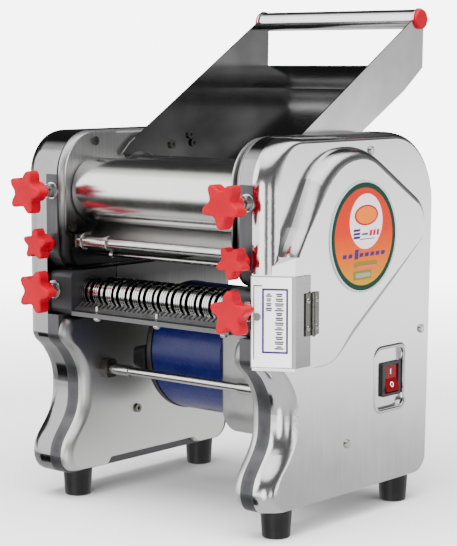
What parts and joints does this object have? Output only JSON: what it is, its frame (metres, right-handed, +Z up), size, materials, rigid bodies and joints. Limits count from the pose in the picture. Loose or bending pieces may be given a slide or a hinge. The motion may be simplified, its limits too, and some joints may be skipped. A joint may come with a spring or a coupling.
{
  "type": "pasta roller machine",
  "caption": "Powered table-top dough sheeter with smooth rollers above a noodle cutter, steel side housings, a motor between them and a sloping feed tray.",
  "frame": {"origin": "middle of the whole box's underside, on the table between the four feet", "axes": "+Z up, +X along the rollers towards the switch side, -Y towards the operator and the star knobs"},
  "size_m": [0.3134, 0.3264, 0.456],
  "materials": {
    "dark_cast_paint": "satin black paint over cast metal",
    "dark_bright_steel": "polished strip",
    "satin_steel": "satin stainless sheet",
    "polished_steel": "mirror-polished stainless sheet",
    "black_rubber": "moulded rubber",
    "zinc_steel": "zinc-plated steel",
    "dark_steel": "dark oiled steel",
    "blue_enamel": "glossy blue enamel",
    "black_plastic": "moulded black plastic",
    "grey_casting": "cast aluminium",
    "cast_alloy": "dark cast alloy",
    "gear_steel": "machined steel",
    "roller_steel": "ground steel",
    "bronze": "bearing bronze",
    "red_plastic": "glossy red moulding",
    "crimson_plastic": "glossy crimson moulding",
    "printed_badge": "printed and lacquered sheet"
  },
  "bodies": {
    "frame": {"left_wall": "dark_cast_paint", "right_wall": "dark_cast_paint", "top_trims": "dark_bright_steel", "left_lower_shell": "satin_steel", "right_lower_shell": "satin_steel", "upper_plates": "satin_steel", "bearing_straps": "satin_steel", "left_cover": "dark_bright_steel", "right_cover": "polished_steel", "feet": "black_rubber", "foot_bolts": "zinc_steel", "cover_screws": "zinc_steel", "panel_screws": "zinc_steel", "tie_rods": "zinc_steel", "tie_rod_nuts": "dark_steel", "motor_body": "blue_enamel", "motor_end_cap": "black_plastic", "motor_gearbox": "grey_casting", "motor_bolts": "dark_steel", "shaft_bushes": "bronze", "scrapers": "satin_steel", "scraper_bars": "zinc_steel", "feed_tray": "polished_steel", "tray_handle": "polished_steel", "handle_caps": "red_plastic", "hinge_leaf": "dark_steel", "hinge_pin": "dark_steel", "switch_bezel": "black_plastic", "badge_plate": "printed_badge", "cord_gland": "black_rubber"},
    "rear_roller": {"rear_roller": "roller_steel", "rear_roller_gear": "gear_steel", "roller_drive_gear": "gear_steel"},
    "front_bearings": {"roller_bearing_blocks": "bronze"},
    "front_roller": {"front_roller": "roller_steel", "front_roller_gear": "gear_steel"},
    "motor_rotor": {"motor_shaft": "zinc_steel", "motor_pinion": "gear_steel"},
    "idler": {"idler_gear": "gear_steel", "idler_shaft": "gear_steel"},
    "cutter_unit": {"cutter_block_left": "black_plastic", "cutter_block_right": "black_plastic", "cutter_bars": "cast_alloy", "cutter_combs": "roller_steel", "cutter_bar_screws": "zinc_steel"},
    "rear_cutter": {"rear_cutter": "roller_steel", "cutter_driven_gear": "gear_steel"},
    "front_cutter": {"front_cutter": "roller_steel"},
    "gap_knob_left": {"gap_knob_left": "red_plastic", "gap_screw_left": "zinc_steel"},
    "gap_knob_right": {"gap_knob_right": "red_plastic", "gap_screw_right": "zinc_steel"},
    "guide_knob_left": {"guide_knob_left": "red_plastic"},
    "guide_knob_right": {"guide_knob_right": "red_plastic"},
    "cutter_knob_left": {"cutter_knob_left": "red_plastic"},
    "cutter_knob_right": {"cutter_knob_right": "red_plastic"},
    "rocker": {"rocker": "crimson_plastic"},
    "gear_door": {"gear_door": "satin_steel", "door_leaf": "dark_steel", "door_catch": "dark_steel"}
  },
  "joints": [
    {"name": "rear_roller_spin", "type": "hinge", "parent": "frame", "child": "rear_roller", "pos_m": [-0.0027, -0.03125, 0.289], "axis": [1, 0, 0], "continuous": true},
    {"name": "front_roller_gap", "type": "slide", "parent": "frame", "child": "front_bearings", "axis": [0, -1, 0], "range_m": [0, 0.003]},
    {"name": "front_roller_spin", "type": "hinge", "parent": "front_bearings", "child": "front_roller", "pos_m": [-0.0027, -0.09125, 0.289], "axis": [1, 0, 0], "continuous": true},
    {"name": "motor_spin", "type": "hinge", "parent": "frame", "child": "motor_rotor", "pos_m": [-0.0027, -0.00425, 0.139], "axis": [1, 0, 0], "continuous": true},
    {"name": "idler_spin", "type": "hinge", "parent": "frame", "child": "idler", "pos_m": [-0.0027, -0.02918, 0.19902], "axis": [1, 0, 0], "continuous": true},
    {"name": "cutter_unit_slide", "type": "slide", "parent": "frame", "child": "cutter_unit", "axis": [0, -1, 0], "range_m": [0, 0.12]},
    {"name": "rear_cutter_spin", "type": "hinge", "parent": "cutter_unit", "child": "rear_cutter", "pos_m": [-0.0027, -0.08111, 0.196], "axis": [1, 0, 0], "continuous": true},
    {"name": "front_cutter_spin", "type": "hinge", "parent": "cutter_unit", "child": "front_cutter", "pos_m": [-0.0027, -0.10311, 0.196], "axis": [1, 0, 0], "continuous": true},
    {"name": "gap_knob_left_turn", "type": "hinge", "parent": "frame", "child": "gap_knob_left", "pos_m": [-0.1182, -0.14625, 0.289], "axis": [0, 1, 0], "range_deg": [0, 720]},
    {"name": "gap_knob_right_turn", "type": "hinge", "parent": "frame", "child": "gap_knob_right", "pos_m": [0.1128, -0.14625, 0.289], "axis": [0, 1, 0], "range_deg": [0, 720]},
    {"name": "guide_knob_left_turn", "type": "hinge", "parent": "frame", "child": "guide_knob_left", "pos_m": [-0.1182, -0.14625, 0.241], "axis": [0, 1, 0], "range_deg": [0, 360]},
    {"name": "guide_knob_right_turn", "type": "hinge", "parent": "frame", "child": "guide_knob_right", "pos_m": [0.1128, -0.14625, 0.241], "axis": [0, 1, 0], "range_deg": [0, 360]},
    {"name": "cutter_knob_left_turn", "type": "hinge", "parent": "cutter_unit", "child": "cutter_knob_left", "pos_m": [-0.1182, -0.14625, 0.198], "axis": [0, 1, 0], "range_deg": [0, 360]},
    {"name": "cutter_knob_right_turn", "type": "hinge", "parent": "cutter_unit", "child": "cutter_knob_right", "pos_m": [0.1128, -0.14625, 0.198], "axis": [0, 1, 0], "range_deg": [0, 360]},
    {"name": "rocker_tilt", "type": "hinge", "parent": "frame", "child": "rocker", "pos_m": [0.1303, 0.05325, 0.1195], "axis": [0, 1, 0], "range_deg": [0, 16]},
    {"name": "gear_door_swing", "type": "hinge", "parent": "frame", "child": "gear_door", "pos_m": [0.1545, -0.09025, 0.196], "axis": [0, 0, 1], "range_deg": [0, 110]}
  ],
  "couplings": [
    {"joint": "front_roller_spin", "follows": "rear_roller_spin", "ratio": -1},
    {"joint": "idler_spin", "follows": "rear_roller_spin", "ratio": -1},
    {"joint": "motor_spin", "follows": "rear_roller_spin", "ratio": 2.25},
    {"joint": "rear_cutter_spin", "follows": "rear_roller_spin", "ratio": 2.4667},
    {"joint": "front_cutter_spin", "follows": "rear_roller_spin", "ratio": -2.4667},
    {"joint": "gap_knob_left_turn", "follows": "front_roller_gap", "rad_per_m": 4188.8},
    {"joint": "gap_knob_right_turn", "follows": "front_roller_gap", "rad_per_m": 4188.8}
  ]
}
